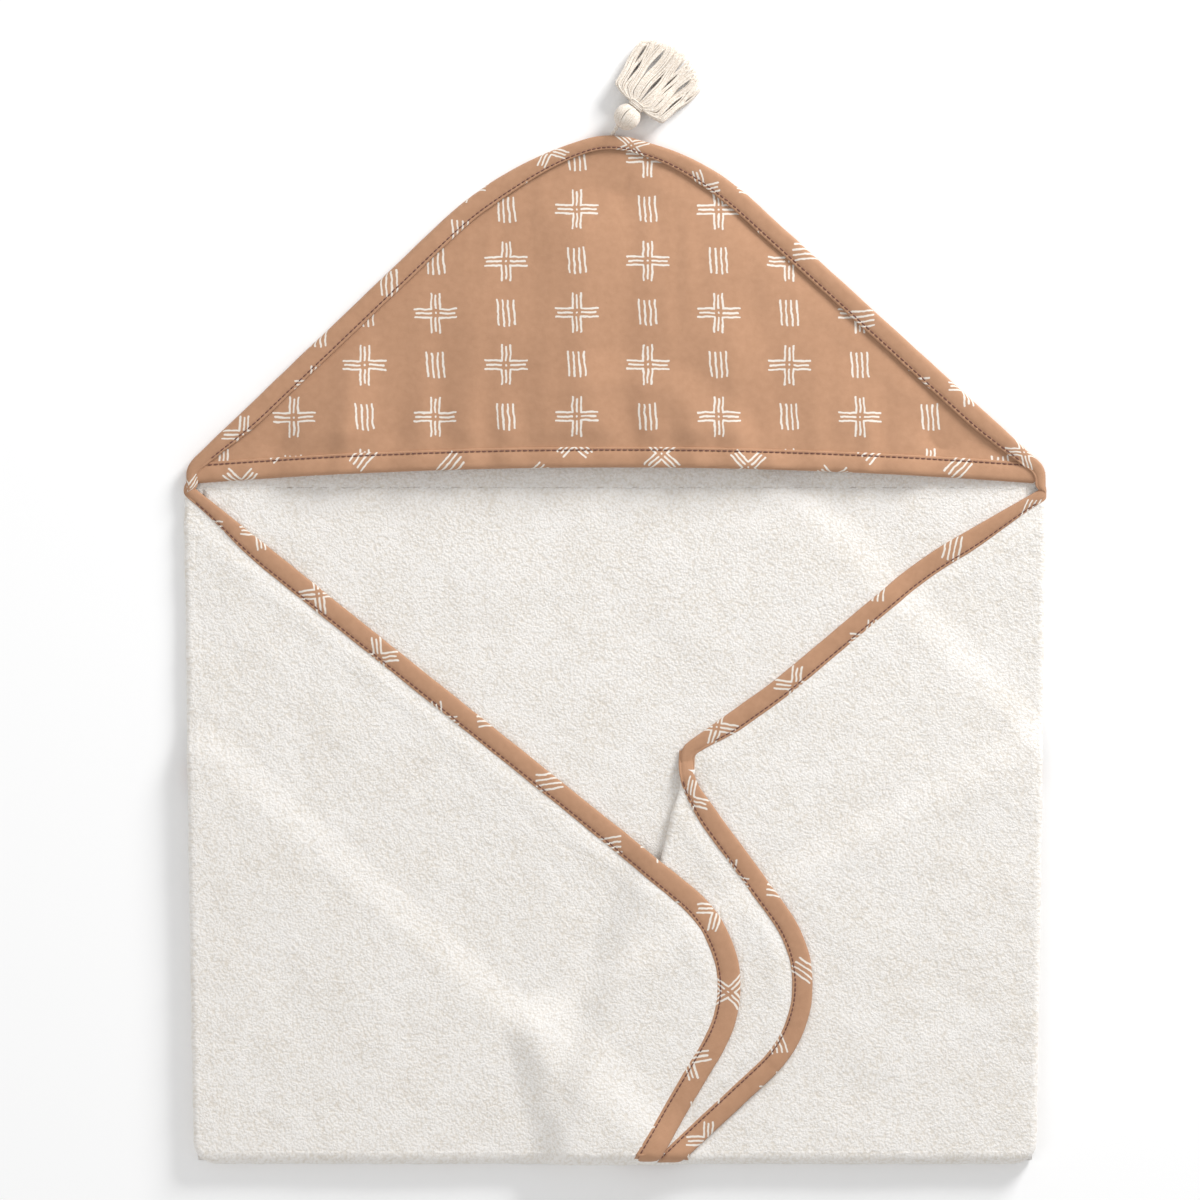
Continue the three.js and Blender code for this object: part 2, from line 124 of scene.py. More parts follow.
def hood_edge():
    """The hood's sewn edge, a little fuller on the left than on the right."""
    left = [(-235.6, NECK, 0), (-235.6, 382, 14), (-63, 547, 200)]
    right = [(52, 549.3, 135), (237.5, 380, 14), (237.5, NECK, 0)]
    return rounded([*left, (*HOOD_TIP, 50), *right])


hood_path = hood_edge()
left_path = rounded([(-235.2, 373, 0), (89.8, 113, CORNER), (23.2, 0, 0)])
right_path = rounded([
    (35.3, 214, 0), (35.6, 227, 11), (87, 263.5, 300), (168, 331.5, 240), (237, 371, 0),
])
lapel_path = rounded([(43.4, 225, 0), (42.4, 210.5, 24), (131.5, 88.6, CORNER), (36, 0, 0)])
tuck_path = rounded([(-TUCK_SIDE, TUCK_KNEE, 0), (0, TUCK_TOP, CORNER), (TUCK_SIDE, TUCK_KNEE, 0)])
left_tuck_path = rounded([(-TUCK_SIDE, TUCK_KNEE - 3, 0), (20, 0, 0)])
right_tuck_path = rounded([(*CREASE_END, 0), (TUCK_SIDE, TUCK_KNEE - 3, 0)])
lapel_tuck_path = rounded([(*CREASE_END, 0), (34, 0, 0)])
outlines = {
    "leftTuck": [*left_tuck_path, (-TUCK_SIDE, 0)],
    "lapelTuck": [*lapel_tuck_path, CREASE_FOOT],
    "rightTuck": [*right_tuck_path, (TUCK_SIDE, 0), CREASE_FOOT],
    "tuck": [*tuck_path, (TUCK_SIDE, 0), (-TUCK_SIDE, 0)],
    "rightFlap": [*right_path, (side(0), 0), CREASE_FOOT],
    "lapel": [*lapel_path, CREASE_FOOT],
}
print("bound edges, mm:", round(left_path[:, 0].max(), 1), "and", round(lapel_path[:, 0].max(), 1))

# %% [markdown]
# ## How the layers drape
# Each layer lies on all those under it, and comes down beside them in a soft slope. A distance
# field gives that slope for any outline, so one function serves every sheet. Slow noise, added to
# the whole stack, keeps the cloth from looking ironed.

# %% Heights of the layers
random = np.random.default_rng(7)
LATTICE = random.random((4, 64, 64))


def noise(x, y, size, seed=0):
    """Smooth random values from -1 to 1 that change over the given size."""
    u = np.asarray(x) / size + 31.7 * seed
    v = np.asarray(y) / size + 17.3 * seed
    iu = np.floor(u).astype(int)
    iv = np.floor(v).astype(int)
    fu = u - iu
    fv = v - iv
    fu = fu * fu * (3 - 2 * fu)
    fv = fv * fv * (3 - 2 * fv)
    table = LATTICE[seed % 4]
    a = table[iu % 64, iv % 64]
    b = table[(iu + 1) % 64, iv % 64]
    c = table[iu % 64, (iv + 1) % 64]
    d = table[(iu + 1) % 64, (iv + 1) % 64]
    return 2 * (a * (1 - fu) * (1 - fv) + b * fu * (1 - fv) + c * (1 - fu) * fv + d * fu * fv) - 1


def distance_to(outline, x, y):
    """Distance outside a closed outline, and 0 inside it."""
    points = np.asarray(outline, dtype=float)
    inside = np.zeros(np.shape(x), dtype=bool)
    nearest = np.full(np.shape(x), np.inf)
    for a, b in zip(points, np.roll(points, -1, axis=0)):
        if a[1] != b[1]:
            crosses = (a[1] > y) != (b[1] > y)
            inside ^= crosses & (x < a[0] + (b[0] - a[0]) * (y - a[1]) / (b[1] - a[1]))
        nearest = np.minimum(nearest, distance_along(a, b, x, y))
    return np.where(inside, 0, nearest)


def distance_along(a, b, x, y):
    along = b - a
    t = np.clip(((x - a[0]) * along[0] + (y - a[1]) * along[1]) / (along @ along), 0, 1)
    return np.hypot(x - a[0] - t * along[0], y - a[1] - t * along[1])


def distance_to_path(path, x, y):
    nearest = np.full(np.shape(x), np.inf)
    for a, b in zip(path[:-1], path[1:]):
        nearest = np.minimum(nearest, distance_along(a, b, x, y))
    return nearest


def stack(*under):
    """The height of a layer that lies on the named ones."""
    def height(x, y):
        x = np.asarray(x, dtype=float)
        y = np.asarray(y, dtype=float)
        total = 0.5 + 0.5 * noise(x, y, 75, 1)
        total = total + 0.35 * (1 + noise(x, y, 28, 2))
        for name in under:
            gap = distance_to(outlines[name], x, y)
            total = total + PITCH * (1 - ease(gap, 1, 24))
        return total
    return height


TUCKS = ("leftTuck", "lapelTuck", "rightTuck")
lies = {
    "leftTuck": stack(),
    "lapelTuck": stack("leftTuck"),
    "rightTuck": stack("leftTuck", "lapelTuck"),
    "tuck": stack(*TUCKS),
    "back": stack(*TUCKS, "tuck"),
}


def on_back(extra):
    raised = stack(*TUCKS, "tuck", *extra)
    return lambda x, y: raised(x, y) + PITCH


lies["rightFlap"] = on_back(())
lies["lapel"] = on_back(("rightFlap",))
lies["leftFlap"] = on_back(("rightFlap", "lapel"))
print("left flap's height at its middle, mm:", round(float(lies["leftFlap"](0, 100)), 1))

# %% [markdown]
# ## A sheet of cloth from a grid
# Cloth has two faces, so each sheet is a grid of middle points with a thickness. Its top gets the
# uneven height of looped pile. A UV map holds each point's place on the flat cut: the finishes
# read it, so the print and the pile stay on the cloth when it bends.

# %% Helpers that make meshes
def unit(vectors):
    return vectors / np.maximum(np.linalg.norm(vectors, axis=-1, keepdims=True), 1e-9)


def to_row(points):
    return (np.asarray(points) - [0, LENGTH / 2, 0]) / 1000


def make_mesh(name, points, faces, flat=None):
    mesh = bpy.data.meshes.new(name)
    mesh.from_pydata(to_row(points).tolist(), [], faces)
    if flat is not None:
        layer = mesh.uv_layers.new(name="flat")
        corners = np.zeros(len(mesh.loops), dtype=int)
        mesh.loops.foreach_get("vertex_index", corners)
        layer.data.foreach_set("uv", (np.asarray(flat)[corners] / 1000).ravel())
    mesh.shade_smooth()
    mesh.validate()
    piece = bpy.data.objects.new(name, mesh)
    bpy.context.scene.collection.objects.link(piece)
    return piece


def quads(rows, cols, offset=0, flip=False):
    i = np.arange(rows - 1)[:, None] * cols + np.arange(cols - 1)[None, :] + offset
    corners = [i, i + 1, i + cols + 1, i + cols]
    if flip:
        corners = corners[::-1]
    return np.stack(corners, axis=-1).reshape(-1, 4).tolist()


def pile(x, y, seed):
    """The uneven height of loops: small tufts on slower swells."""
    tufts = 0.17 * noise(x, y, 2.3, seed) + 0.10 * noise(x, y, 4.6, seed + 1)
    return tufts + 0.18 * noise(x, y, 13, seed + 2)


def cloth(name, middle, half, flat, rough=1.0, seed=0):
    """A closed sheet: two faces, half a thickness each side of the middle, and a rim."""
    rows, cols = middle.shape[:2]
    across = np.gradient(middle, axis=1)
    up = np.gradient(middle, axis=0)
    normal = unit(np.cross(across, up))
    half = np.broadcast_to(half, (rows, cols))
    swell = rough * pile(flat[..., 0], flat[..., 1], seed)
    top = middle + normal * (half + swell * ease(half, 0.75, 1.25))[..., None]
    low = middle - normal * half[..., None]
    n = rows * cols
    faces = quads(rows, cols) + quads(rows, cols, n, flip=True)
    ring = list(range(cols))
    ring += [i * cols + cols - 1 for i in range(1, rows)]
    ring += [(rows - 1) * cols + j for j in range(cols - 2, -1, -1)]
    ring += [i * cols for i in range(rows - 2, 0, -1)]
    for a, b in zip(ring, ring[1:] + ring[:1]):
        faces.append((b, a, a + n, b + n))
    points = np.concatenate([top.reshape(-1, 3), low.reshape(-1, 3)])
    places = np.concatenate([flat.reshape(-1, 2)] * 2)
    return make_mesh(name, points, faces, places)


def thinned(path, x, y, full=HALF_TERRY, edge=0.7):
    """Half the thickness of terry, which is pressed thin inside its binding."""
    inside = distance_to_path(path, x, y)
    bulge = 0.3 * np.exp(-(((inside - 20) / 5) ** 2))
    return edge + (full - edge) * ease(inside, 10.5, 18) + bulge


# %% [markdown]
# ## Finishes
# Terry is a mat of loops, so it scatters light and has no gloss: cells the size of a loop drive
# its bump, with finer noise for the yarn. The same cells paint shade into its colour: it is darker
# in the low places between the loops, on top of a patchy tone. The printed cotton is a plain weave
# dyed clay, with motifs in off-white. Their strokes are measured distances, so they stay crisp at any
# size.

# %% A short way to wire nodes
class Nodes:
    def __init__(self, name):
        self.material = bpy.data.materials.new(name)
        self.material.use_nodes = True
        self.tree = self.material.node_tree
        self.shader = self.tree.nodes["Principled BSDF"]

    def add(self, kind, inputs=None, **settings):
        node = self.tree.nodes.new("ShaderNode" + kind)
        for key, value in settings.items():
            setattr(node, key, value)
        for key, value in (inputs or {}).items():
            self.set(node.inputs[key], value)
        return node

    def set(self, socket, value):
        if isinstance(value, bpy.types.NodeSocket):
            self.tree.links.new(value, socket)
        else:
            socket.default_value = value

    def math(self, operation, *values):
        node = self.add("Math", operation=operation)
        for i, value in enumerate(values):
            self.set(node.inputs[i], value)
        return node.outputs[0]

    def scaled(self, vector, scale):
        return self.add("VectorMath", {0: vector, "Scale": scale}, operation="SCALE").outputs[0]

    def cloth_point(self):
        """The place on the flat cut, in millimetres."""
        return self.scaled(self.add("UVMap", uv_map="flat").outputs[0], 1000.0)

    def noise(self, point, scale, detail=3.0, rough=0.5):
        values = {"Vector": point, "Scale": scale, "Detail": detail, "Roughness": rough}
        return self.add("TexNoise", values).outputs["Fac"]

    def mix(self, factor, low, high):
        node = self.add("Mix", data_type="RGBA")
        self.set(node.inputs["Factor"], factor)
        self.set(node.inputs[6], low)
        self.set(node.inputs[7], high)
        return node.outputs[2]

    def surface(self, values):
        for key, value in values.items():
            self.set(self.shader.inputs[key], value)

    def ramp(self, value, low, high, out_low=0.0, out_high=1.0):
        node = self.add("MapRange", {0: value, 1: low, 2: high, 3: out_low, 4: out_high})
        node.interpolation_type = "SMOOTHSTEP"
        return node.outputs[0]

    def bump(self, height, distance, strength=1.0):
        values = {"Height": height, "Distance": distance, "Strength": strength}
        return self.add("Bump", values).outputs[0]


# %% Looped terry
def terry_finish(name, light, dark):
    m = Nodes(name)
    point = m.cloth_point()
    loops = m.add("TexVoronoi", {"Vector": point, "Scale": 0.8, "Randomness": 0.95})
    loops.feature = "SMOOTH_F1"
    fine = m.noise(point, 1.5, 4.0, 0.65)
    height = m.math("SUBTRACT", m.math("MULTIPLY", fine, 0.9), loops.outputs["Distance"])
    patchy = m.noise(point, 0.035, 3.0)
    # Painted shade: the colour gets darker where the loops' height is low, between the loops, added to
    # a patchy tone.
    tone_and_loop_shade = m.math("ADD", m.math("MULTIPLY", patchy, 0.5), m.ramp(height, -0.55, 0.45, -0.1, 0.6))
    m.surface({
        "Base Color": m.mix(m.ramp(tone_and_loop_shade, 0.05, 0.85), dark, light),
        "Roughness": 0.95,
        "Specular IOR Level": 0.15,
        "Sheen Weight": 0.25,
        "Sheen Roughness": 0.6,
        "Normal": m.bump(height, 0.0009, 0.6),
    })
    return m.material


# The darker colour serves both the patchy tone and the painted shade between the loops.
terry = terry_finish("terry", (0.915, 0.885, 0.85, 1), (0.76, 0.70, 0.62, 1))

# %% [markdown]
# ## The print
# Two motifs alternate like the squares of a chessboard: a cross drawn in double lines, and four
# upright strokes. Folding the cell's coordinates with an absolute value draws all four arms of
# the cross at once. A little noise in the coordinates gives the hand-drawn wobble.

# %% Printed cotton
COLUMN = 38.8  # from one motif to the next, across and up
ROW = 28.5
CREAM = (0.86, 0.80, 0.72, 1)


def stroke(m, u, v, start, end):
    """Distance from a straight stroke, which is upright or level."""
    (x0, y0), (x1, y1) = start, end
    du = m.math("SUBTRACT", u, (x0 + x1) / 2)
    dv = m.math("SUBTRACT", v, (y0 + y1) / 2)
    across, along = (du, dv) if x0 == x1 else (dv, du)
    reach = max(abs(x1 - x0), abs(y1 - y0)) / 2
    across = m.math("ABSOLUTE", across)
    past = m.math("MAXIMUM", m.math("SUBTRACT", m.math("ABSOLUTE", along), reach), 0.0)
    return m.math("SQRT", m.math("ADD", m.math("POWER", across, 2.0), m.math("POWER", past, 2.0)))


def nearest(m, distances):
    result = distances[0]
    for other in distances[1:]:
        result = m.math("MINIMUM", result, other)
    return result


def print_finish():
    m = Nodes("printed_cotton")
    point = m.cloth_point()
    wobble = m.add("TexNoise", {"Vector": point, "Scale": 0.16, "Detail": 2.0})
    centred = {0: wobble.outputs["Color"], 1: (0.5, 0.5, 0.5)}
    shift = m.add("VectorMath", centred, operation="SUBTRACT")
    grown = m.scaled(shift.outputs[0], 2.0)
    moved = m.add("VectorMath", {0: point, 1: grown}, operation="ADD")
    xyz = m.add("SeparateXYZ", {0: moved.outputs[0]})
    across = m.math("DIVIDE", xyz.outputs[0], COLUMN)
    along = m.math("DIVIDE", xyz.outputs[1], ROW)
    column = m.math("ROUND", across)
    row = m.math("ROUND", along)
    u = m.math("MULTIPLY", m.math("SUBTRACT", across, column), COLUMN)
    v = m.math("MULTIPLY", m.math("SUBTRACT", along, row), ROW)
    odd = m.math("ABSOLUTE", m.math("MODULO", m.math("ADD", column, row), 2.0))
    au = m.math("ABSOLUTE", u)
    av = m.math("ABSOLUTE", v)
    cross = nearest(m, [
        stroke(m, au, av, (2.3, 2.3), (2.3, 10.6)),
        stroke(m, au, av, (2.3, 2.3), (11.4, 2.3)),
        stroke(m, au, av, (0.0, 2.6), (0.0, 9.6)),
        stroke(m, au, av, (2.6, 0.0), (10.4, 0.0)),
        stroke(m, au, av, (0.0, 0.0), (0.0, 0.1)),
    ])
    leaned = m.math("ADD", u, m.math("MULTIPLY", v, 0.07))
    bars = m.math("ABSOLUTE", leaned)
    four = nearest(m, [
        stroke(m, bars, v, (1.45, -6.9), (1.45, 6.6)),
        stroke(m, bars, v, (4.35, -6.3), (4.35, 7.0)),
    ])
    chosen = m.add("Mix", data_type="FLOAT")
    m.set(chosen.inputs[0], odd)
    m.set(chosen.inputs[2], cross)
    m.set(chosen.inputs[3], four)
    ink = m.math("ADD", chosen.outputs[0], m.math("MULTIPLY", m.noise(point, 0.9), 0.35))
    mask = m.ramp(ink, 0.55, 0.85, 1.0, 0.0)
    wave = {"Vector": point, "Scale": 0.55, "Distortion": 0.8, "Detail": 2.0}
    warp = m.add("TexWave", wave)
    weft = m.add("TexWave", wave, bands_direction="Y")
    weave = m.math("MULTIPLY", m.math("ADD", warp.outputs["Fac"], weft.outputs["Fac"]), 0.5)
    slub = m.noise(point, 0.25, 4.0)
    tone = m.math("ADD", m.math("MULTIPLY", weave, 0.35), m.math("MULTIPLY", slub, 0.65))
    clay = m.mix(tone, (0.44, 0.238, 0.135, 1), (0.60, 0.345, 0.215, 1))
    m.surface({
        "Base Color": m.mix(mask, clay, CREAM),
        "Roughness": 0.85,
        "Specular IOR Level": 0.2,
        "Sheen Weight": 0.1,
        "Normal": m.bump(m.math("ADD", weave, slub), 0.0003, 0.6),
    })
    return m.material


printed = print_finish()


# %% Yarn and sewing thread
def yarn_finish(name, light, dark, size):
    m = Nodes(name)
    where = m.add("TexCoord").outputs["Object"]
    fibre = m.noise(where, size, 4.0, 0.6)
    m.surface({
        "Base Color": m.mix(m.ramp(fibre, 0.3, 0.7), dark, light),
        "Roughness": 0.8,
        "Sheen Weight": 0.3,
        "Normal": m.bump(fibre, 0.0003, 0.7),
    })
    return m.material


yarn = yarn_finish("cream_yarn", (0.88, 0.81, 0.73, 1), (0.70, 0.61, 0.51, 1), 900.0)
thread = yarn_finish("sewing_thread", (0.20, 0.075, 0.045, 1), (0.12, 0.04, 0.025, 1), 1500.0)
print("finishes:", [m.name for m in bpy.data.materials])


# %% [markdown]
# ## Sheets along rows
# The left flap, the back and the right flap are one cloth that turns at the sides. Each row of a
# sheet is a line of points across the towel, so the turn at a side fold is part of the same grid.

# %% Helpers for rows and turns
def edge_x(path, y):
    """Where a path is at each height; the path climbs or falls steadily."""
    order = np.argsort(path[:, 1])
    return np.interp(y, path[order, 1], path[order, 0])


def crease_x(y):
    slope = (CREASE_TOP[0] - CREASE_FOOT[0]) / CREASE_TOP[1]
    return CREASE_FOOT[0] + 3.4 + slope * y


def plan_corner(y, radius=11.0):
    """How far a side draws in as the bottom corner rounds off."""
    t = np.clip((radius - y) / radius, 0, 1)
    return radius * (1 - np.sqrt(1 - t * t))


def half_turn(centre, depth, low, high, steps):
    """Points round a fold, from its lower side to its upper one."""
    angles = [math.pi * k / steps for k in range(steps + 1)]
    xs = [centre + depth * math.sin(angle) for angle in angles]
    return xs, [(low + high) / 2 - (high - low) / 2 * math.cos(angle) for angle in angles]


def turned_row(y, sign, low, high, inner_from, inner_to, count, back=14.0):
    """Points from the back, round a side fold and along a flap, for one height."""
    outer = sign * (side(y) - plan_corner(y) - HALF_TERRY)
    z0 = float(lies[low](outer, y)) + HALF_TERRY
    z1 = float(lies[high](outer, y)) + HALF_TERRY
    depth = (z1 - z0) / 2 + 0.8
    centre = outer - sign * depth
    xs = [centre - sign * back * (1 - k / 6) for k in range(6)]
    zs = [float(lies[low](x, y)) + HALF_TERRY - 1.4 * max(1 - k / 3, 0) for k, x in enumerate(xs)]
    turn_xs, turn_zs = half_turn(centre, sign * depth, z0, z1, 12)
    along = np.linspace(inner_from if inner_from is not None else centre, inner_to, count + 1)[1:]
    level = lies[high](along, np.full(count, y)) + HALF_TERRY
    return np.array([*xs, *turn_xs, *along]), np.array([*zs, *turn_zs, *level]), centre


def fold_sheet(sign, low, high, rows, inner, path):
    """A flap with its side fold. inner(y) is the flap's free side."""
    middle = []
    for row in rows:
        angle = min(max((ROLL - row) / ROLL, 0), 1.5)
        y = row if row > ROLL else ROLL - (ROLL + 0.2) * math.sin(angle)
        _, _, centre = turned_row(y, sign, low, high, None, 0, 2)
        xs, zs, _ = turned_row(y, sign, low, high, centre, inner(y), 165)
        folded = (zs + lies[TUCKED[high]](xs, np.full(xs.shape, ROLL)) + HALF_TERRY) / 2
        zs = folded + (zs - folded) * math.cos(angle)
        middle.append(np.stack([xs, np.full(xs.shape, y), zs], axis=-1))
    middle = np.array(middle)
    if sign > 0:
        middle = middle[:, ::-1]
    steps = np.linalg.norm(np.diff(middle, axis=1), axis=-1)
    run = np.concatenate([np.zeros((len(rows), 1)), np.cumsum(steps, axis=1)], axis=1)
    anchor = run[:, -1:] - middle[:, -1:, 0] if sign < 0 else run[:, :1] - middle[:, :1, 0]
    flat = np.stack([run - anchor, np.broadcast_to(rows[:, None], run.shape)], axis=-1)
    half = thinned(path, middle[..., 0], middle[..., 1])
    return middle, half, flat


CELL = 2.0
TUCKED = {"leftFlap": "leftTuck", "rightFlap": "rightTuck", "lapel": "lapelTuck"}
turn_rows = np.linspace(ROLL - 1.45 * ROLL, ROLL, 9)[:-1]
flap_rows = np.concatenate([turn_rows, np.arange(ROLL, NECK - 1, CELL), [NECK - 0.5]])

# %% [markdown]
# ## The left flap
# The left corner lies over everything else. Its free edge can be folded back like a lapel.

# %% The left flap
def draw_in(path):
    return lambda y: edge_x(path, y) - EDGE_GAP


sheets = {}
middle, half, flat = fold_sheet(
    -1, "back", "leftFlap", flap_rows, draw_in(left_path), left_path
)
left_flap = cloth("left_flap", middle, half, flat, seed=1)
sheets["left_flap"] = flat
print("left flap:", len(left_flap.data.polygons), "faces")

# %% [markdown]
# ## The right flap and its turned-back corner
# The right corner lies under the left one. Its corner is turned back to the right, so the inside
# of the cloth shows there, and the turn itself is a crease hidden under the left flap.

# %% The right flap
def right_inner(y):
    hidden = crease_x(y) + 12 - 8 * ease(y, 192, 206)
    shown = ease(y, 208, 230)
    return hidden + (edge_x(right_path, y) - hidden) * shown + EDGE_GAP


middle, half, flat = fold_sheet(1, "back", "rightFlap", flap_rows, right_inner, right_path)
right_flap = cloth("right_flap", middle, half, flat, seed=2)
sheets["right_flap"] = flat
print("right flap:", len(right_flap.data.polygons), "faces")

# %% The turned-back corner
lapel_rows = np.concatenate([[ROLL], np.arange(ROLL + 1, 216, CELL)])
middle = []
for y in lapel_rows:
    crease = crease_x(y) + HALF_TERRY
    low = float(lies["rightFlap"](crease, y)) + HALF_TERRY
    high = float(lies["lapel"](crease, y)) + HALF_TERRY
    depth = (high - low) / 2 + 0.9
    centre = crease + depth
    far = max(edge_x(lapel_path, y) - EDGE_GAP, centre + 3)
    xs = list(np.linspace(centre + 10, centre, 5)[:-1])
    turn_xs, turn_zs = half_turn(centre, -depth, low, high, 10)
    along = np.linspace(centre, far, 81)[1:]
    xs = np.array([*xs, *turn_xs, *along])
    zs = np.array([*[low] * 4, *turn_zs, *(lies["lapel"](along, np.full(along.shape, y)) + HALF_TERRY)])
    middle.append(np.stack([xs, np.full(xs.shape, y), zs], axis=-1))
middle = np.array(middle)
flat = middle[..., :2] + [400, 0]
half = thinned(lapel_path, middle[..., 0], middle[..., 1])
right_lapel = cloth("right_lapel", middle, half, flat, seed=3)
sheets["right_lapel"] = middle[..., :2]
print("turned-back corner:", len(right_lapel.data.polygons), "faces")


# %% The back
def plain_sheet(name, rows, left, right, lie, path=None, count=160, seed=0):
    middle = []
    for y in rows:
        xs = np.linspace(left(y), right(y), count)
        zs = lie(xs, np.full(count, y)) + HALF_TERRY
        middle.append(np.stack([xs, np.full(count, y), zs], axis=-1))
    middle = np.array(middle)
    flat = middle[..., :2].copy()
    half = HALF_TERRY
    if path is not None:
        half = thinned(path, middle[..., 0], middle[..., 1])
    piece = cloth(name, middle, half, flat, seed=seed)
    sheets[name] = flat
    return piece


back_rows = np.concatenate([[ROLL], np.arange(ROLL + 1, NECK, CELL), [NECK]])
back = plain_sheet(
    "back", back_rows, lambda y: -side(y) + 11, lambda y: side(y) - 11, lies["back"]
)
print("back:", len(back.data.polygons), "faces")

# %% [markdown]
# ## The corner tucked under
# The bottom corner, with the ends of both flaps, is folded under the towel. It is out of sight
# until the tuck is opened, so its sheets use a wider grid.

# %% The tucked layers
tuck_rows = np.concatenate([[0.5], np.arange(4, TUCK_KNEE, 4)])
tuck_top = np.concatenate([tuck_rows, np.arange(TUCK_KNEE, tuck_path[:, 1].max() - 1.5, 4)])


def tuck_side(sign):
    half_path = tuck_path[tuck_path[:, 0] * sign >= 0]

    def where(y):
        if y < TUCK_KNEE:
            return sign * (TUCK_SIDE - EDGE_GAP)
        return edge_x(half_path, y) - sign * EDGE_GAP

    return where


tuck = plain_sheet("tuck", tuck_top, tuck_side(-1), tuck_side(1), lies["tuck"], tuck_path, 110)
side_tuck_rows = np.arange(0.5, TUCK_KNEE - 6, 4)
left_tuck = plain_sheet(
    "left_tuck", side_tuck_rows, lambda y: -TUCK_SIDE, draw_in(left_tuck_path),
    lies["leftTuck"], left_tuck_path, 60,
)


def right_tuck_left(y):
    if y < CREASE_END[1]:
        return CREASE_FOOT[0] + (CREASE_END[0] - CREASE_FOOT[0]) * y / CREASE_END[1]
    return edge_x(right_tuck_path, y) + EDGE_GAP


right_tuck = plain_sheet(
    "right_tuck", side_tuck_rows, right_tuck_left, lambda y: TUCK_SIDE,
    lies["rightTuck"], right_tuck_path, 60,
)
lapel_tuck = plain_sheet(
    "lapel_tuck", np.arange(0.5, 68, 3.0), right_tuck_left,
    draw_in(lapel_tuck_path), lies["lapelTuck"], lapel_tuck_path, 30,
)
print("tucked layers:", [p.name for p in (tuck, left_tuck, right_tuck, lapel_tuck)])

# %% [markdown]
# ## The turn at the bottom
# Every layer turns under along the bottom fold. Each turn is a short rolled sheet from the layer
# above to its other half below.

# %% Rolled turns at the bottom
def bottom_roll(name, x0, x1, high, low, seed=0, thick=TERRY):
    count = max(int(abs(x1 - x0) / 2.2), 6)
    xs = np.linspace(x0, x1, count)
    upper = lies[high](xs, np.full(count, ROLL)) + HALF_TERRY
    lower = lies[low](xs, np.full(count, 0.5)) + HALF_TERRY
    angles = np.linspace(0, math.pi, 19)
    shift = plan_corner(HALF_FOOT - np.abs(xs))
    rows = [np.stack([xs, np.full(count, ROLL + 8), lower], axis=-1)]
    for angle in angles[::-1]:
        y = ROLL - (ROLL - thick / 2 - 0.5 - shift) * math.sin(angle)
        z = (upper + lower) / 2 + (upper - lower) / 2 * math.cos(angle)
        rows.append(np.stack([xs, y, z], axis=-1))
    middle = np.array(rows)
    steps = np.linalg.norm(np.diff(middle, axis=0), axis=-1).mean(axis=1)
    run = np.concatenate([[0], np.cumsum(steps)])
    down = np.broadcast_to((run - run[-1])[:, None], middle.shape[:2]) + ROLL
    flat = np.stack([middle[..., 0], down], -1)
    piece = cloth(name, middle, thick / 2, flat, seed=seed)
    sheets[name] = flat
    return piece


left_turn = bottom_roll("left_turn", -HALF_FOOT + 8, 11.8, "leftFlap", "leftTuck", seed=1)
left_turn_tape = bottom_roll("left_turn_tape", 11.4, 25.2, "leftFlap", "leftTuck", thick=3.0)
lapel_turn = bottom_roll("lapel_turn", -12.0, 27.4, "lapel", "lapelTuck", seed=3)
lapel_turn_tape = bottom_roll("lapel_turn_tape", 27.0, 40.4, "lapel", "lapelTuck", thick=3.0)
right_turn = bottom_roll("right_turn", 12.0, HALF_FOOT - 8, "rightFlap", "rightTuck", seed=2)
print("turns at the bottom:", len(left_turn.data.polygons), "faces on the left one")

# %% [markdown]
# ## The hood
# Three layers share the hood's sewn sides: the towel's own corner at the back, a terry lining and
# the printed panel. The two front layers stand off the back at the middle, where a head goes in.
# The sewing gathers the thin cotton a little, so ripples run up from the mouth and fade.

# %% Heights of the hood
hood_top = hood_path[np.argsort(hood_path[:, 0], kind="stable")]
MOUTH = 371.5  # height of the mouth's ends
MOUTH_RISE = 9.0  # and how much higher its middle is
PRINT_AT = (-20.9, 465.3)  # a motif's centre
PRESSED = 1.7  # how far the front layers are pressed down at the sewn sides


def mouth_y(x):
    return MOUTH + MOUTH_RISE * (1 - (np.asarray(x) / HALF_NECK) ** 2)


def top_y(x):
    return np.interp(x, hood_top[:, 0], hood_top[:, 1])


def pocket(x, y):
    sewn = distance_to_path(hood_path, x, y)
    return lies["back"](x, y) + POCKET * ease(sewn, 14, 85)


def ripples(x, y):
    """Gathers that rise from the mouth's seam, and softer ones below the tip."""
    from_mouth = y - mouth_y(x)
    wander = 9 * noise(x, y, 60, 3)
    gathers = noise(x + wander, y * 0.10, 11, 2) * np.exp(-np.maximum(from_mouth, 0) / 26)
    long_ones = noise(x + wander, y * 0.16, 26, 1) * np.exp(-np.maximum(from_mouth, 0) / 95)
    at_tip = noise((x + 4) * 3, y * 0.4, 22, 0) * np.exp(-np.hypot(x + 4, y - TIP) / 38)
    sewn = distance_to_path(hood_path, x, y)
    folds = 4.2 * gathers + 6.5 * long_ones + 5.5 * at_tip + 3.0 * noise(x, y, 45, 3)
    return folds * ease(sewn, 8, 34) * (0.3 + 0.7 * ease(from_mouth, 9, 24))


# %% Sheets of the hood
def hood_sheet(name, base, thick, lie, foot, rows=110, columns=236, rough=1.0, origin=(0, 0)):
    xs = np.linspace(hood_path[:, 0].min() + 1.2, hood_path[:, 0].max() - 1.2, columns)
    low = foot(xs)
    high = np.maximum(top_y(xs) - 1.4, low + 1)
    t = np.linspace(0, 1, rows)[:, None]
    x = np.broadcast_to(xs, (rows, columns))
    y = low + (high - low) * t
    z = lie(x, y) + base
    middle = np.stack([x, y, z], axis=-1)
    half = thinned(hood_path, x, y, thick / 2) if thick == TERRY else thick / 2
    flat = np.stack([x - origin[0], y - origin[1]], axis=-1)
    piece = cloth(name, middle, half, flat, rough=rough)
    sheets[name] = flat
    return piece


